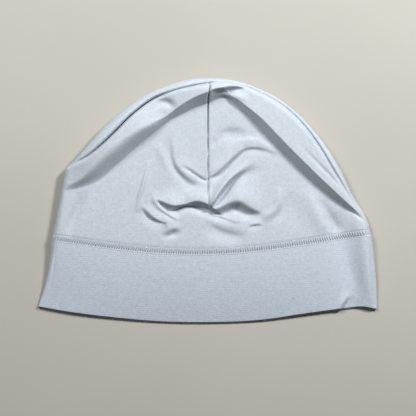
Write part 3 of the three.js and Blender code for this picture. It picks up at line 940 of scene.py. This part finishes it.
def build_stitches(finish):
    """Cover stitches along the band seam, on the front and on the back."""
    points = []
    faces = []
    first = 0
    sides = seam_sides()
    for surface in (crown_upper, crown_lower):
        for path, radius in loop_paths(surface, sides) + needle_paths(surface, sides):
            rings, thread_faces = tube(as_seen(path), radius)
            points.append(rings)
            faces += [[corner + first for corner in face] for face in thread_faces]
            first += len(rings)
    return make_piece("cover_stitches", np.concatenate(points), faces, finish)


# Finishes

class Value:
    """A number that varies over a surface; arithmetic on it adds Math nodes."""

    def __init__(self, finish, socket):
        self.finish = finish
        self.socket = socket

    def __add__(self, other):
        return self.finish.maths("ADD", self, other)

    __radd__ = __add__

    def __mul__(self, other):
        return self.finish.maths("MULTIPLY", self, other)

    __rmul__ = __mul__

    def sine(self):
        return self.finish.maths("SINE", self)


class Finish:
    """A material and the nodes that make its look."""

    def __init__(self, name):
        self.material = bpy.data.materials.new(name)
        self.material.use_nodes = True
        self.nodes = self.material.node_tree.nodes
        self.links = self.material.node_tree.links
        self.shader = self.nodes["Principled BSDF"]

    def feed(self, socket, value):
        """Links a varying value to a socket, or sets a plain one on it."""
        if isinstance(value, Value):
            self.links.new(value.socket, socket)
        else:
            socket.default_value = value

    def node(self, kind, settings=None, inputs=None, output=0):
        """Adds a node and gives one of its outputs as a value."""
        node = self.nodes.new(kind)
        for name, value in (settings or {}).items():
            setattr(node, name, value)
        for name, value in (inputs or {}).items():
            self.feed(node.inputs[name], value)
        return Value(self, node.outputs[output])

    def maths(self, operation, first, second=0.0):
        return self.node("ShaderNodeMath", {"operation": operation}, {0: first, 1: second})

    def noise(self, place, scale, detail):
        return self.node("ShaderNodeTexNoise", inputs={"Vector": place, "Scale": scale, "Detail": detail})

    def blend(self, share, first, second):
        """First colour at share 0, second at share 1."""
        inputs = {0: share, 6: first, 7: second}
        return self.node("ShaderNodeMix", {"data_type": "RGBA"}, inputs, output=2)

    def set(self, **inputs):
        """Feeds the shader's sockets by their names in small letters."""
        for name, value in inputs.items():
            self.feed(self.shader.inputs[name.replace("_", " ").title()], value)


def knit_finish(name, colours, wale_pitch):
    """Matt fine jersey: faint wales and courses, slight mottling of the yarn's colour."""
    shade, colour = colours
    finish = Finish(name)
    place = finish.node("ShaderNodeTexCoord", output="Object")
    split = finish.node("ShaderNodeSeparateXYZ", inputs={0: place})
    across = Value(finish, split.socket.node.outputs["X"])
    along = Value(finish, split.socket.node.outputs["Y"])
    turn = 2 * np.pi / (wale_pitch * MM)
    wales = (across * turn).sine()
    courses = (along * (turn * COURSES_TO_WALES)).sine()
    yarn = finish.noise(place, YARN_SCALE, KNIT_DETAIL)
    cloud = finish.noise(place, CLOUD_SCALE, KNIT_DETAIL)
    height = wales * RIB_HEIGHT + courses * RIB_HEIGHT + yarn
    normal = finish.node("ShaderNodeBump", inputs={
        "Height": height, "Strength": BUMP_STRENGTH, "Distance": BUMP_DISTANCE})
    tint = finish.blend(yarn * YARN_SHARE + cloud * CLOUD_SHARE, shade, colour)
    finish.set(base_color=tint, roughness=KNIT_ROUGHNESS, normal=normal,
               sheen_weight=KNIT_SHEEN, sheen_roughness=SHEEN_ROUGHNESS)
    finish.shader.inputs["Specular IOR Level"].default_value = KNIT_SPECULAR
    return finish.material


def floor_finish():
    """Plain pale floor with a slight cloudiness."""
    finish = Finish("pale_floor")
    place = finish.node("ShaderNodeTexCoord", output="Object")
    cloud = finish.noise(place, FLOOR_SCALE, FLOOR_DETAIL)
    finish.set(base_color=finish.blend(cloud, *FLOOR_COLOURS), roughness=FLOOR_ROUGHNESS)
    return finish.material


# Scene

def build_floor():
    mesh = bpy.data.meshes.new("floor")
    corners = [(x * FLOOR_REACH, y * FLOOR_REACH, 0) for x, y in ((-1, -1), (1, -1), (1, 1), (-1, 1))]
    mesh.from_pydata(corners, [], [(0, 1, 2, 3)])
    mesh.materials.append(floor_finish())
    floor = bpy.data.objects.new("floor", mesh)
    bpy.context.scene.collection.objects.link(floor)


def add_light(name, azimuth, elevation, size, share, colour):
    """Square lamp aimed at the cap. share: how much of the light on the floor it gives."""
    bearing = np.radians(azimuth)
    up = np.radians(elevation)
    lamp = bpy.data.lights.new(name, "AREA")
    lamp.size = size
    lamp.energy = share * LIGHT_LEVEL * (np.pi * LAMP_DISTANCE) ** 2 / np.sin(up)
    lamp.color = colour
    light = bpy.data.objects.new(name, lamp)
    light.location = (LAMP_DISTANCE * np.cos(up) * np.cos(bearing),
                      LAMP_DISTANCE * np.cos(up) * np.sin(bearing),
                      LAMP_DISTANCE * np.sin(up))
    light.rotation_euler = (np.pi / 2 - up, 0.0, bearing + np.pi / 2)
    bpy.context.scene.collection.objects.link(light)


def light_scene():
    world = bpy.data.worlds.new("studio")
    world.use_nodes = True
    backdrop = world.node_tree.nodes["Background"]
    backdrop.inputs["Color"].default_value = FILL_COLOUR
    backdrop.inputs["Strength"].default_value = FILL_SHARE * LIGHT_LEVEL
    bpy.context.scene.world = world
    for row in LAMPS:
        add_light(*row)
    bpy.context.scene.view_settings.view_transform = "Standard"


def place_camera():
    camera = bpy.data.cameras.new("camera")
    camera.sensor_width = SENSOR_WIDTH
    camera.lens = SENSOR_WIDTH * (CAMERA_HEIGHT - VIEW_LEVEL) / VIEW_WIDTH
    camera.clip_start = CLIP_START
    camera.clip_end = CLIP_END
    holder = bpy.data.objects.new("camera", camera)
    holder.location = (CAMERA_X * MM, CAMERA_Y * MM, CAMERA_HEIGHT * MM)
    bpy.context.scene.collection.objects.link(holder)
    bpy.context.scene.camera = holder


def main():
    crown_knit = knit_finish("crown_knit", CROWN_COLOURS, KNIT_PITCH)
    band_knit = knit_finish("band_knit", BAND_COLOURS, KNIT_PITCH)
    front = build_front(crown_knit)
    back = build_back(crown_knit)
    ring = build_band(band_knit)
    # The thread's darker colours are partly painted shade of the stitch row
    stitches = build_stitches(knit_finish("stitch_thread_painted_shade", THREAD_COLOURS_WITH_PAINTED_SHADE, THREAD_PITCH))
    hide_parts("crown_front")
    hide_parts("crown_back")
    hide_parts("band")
    build_floor()
    light_scene()
    place_camera()


main()
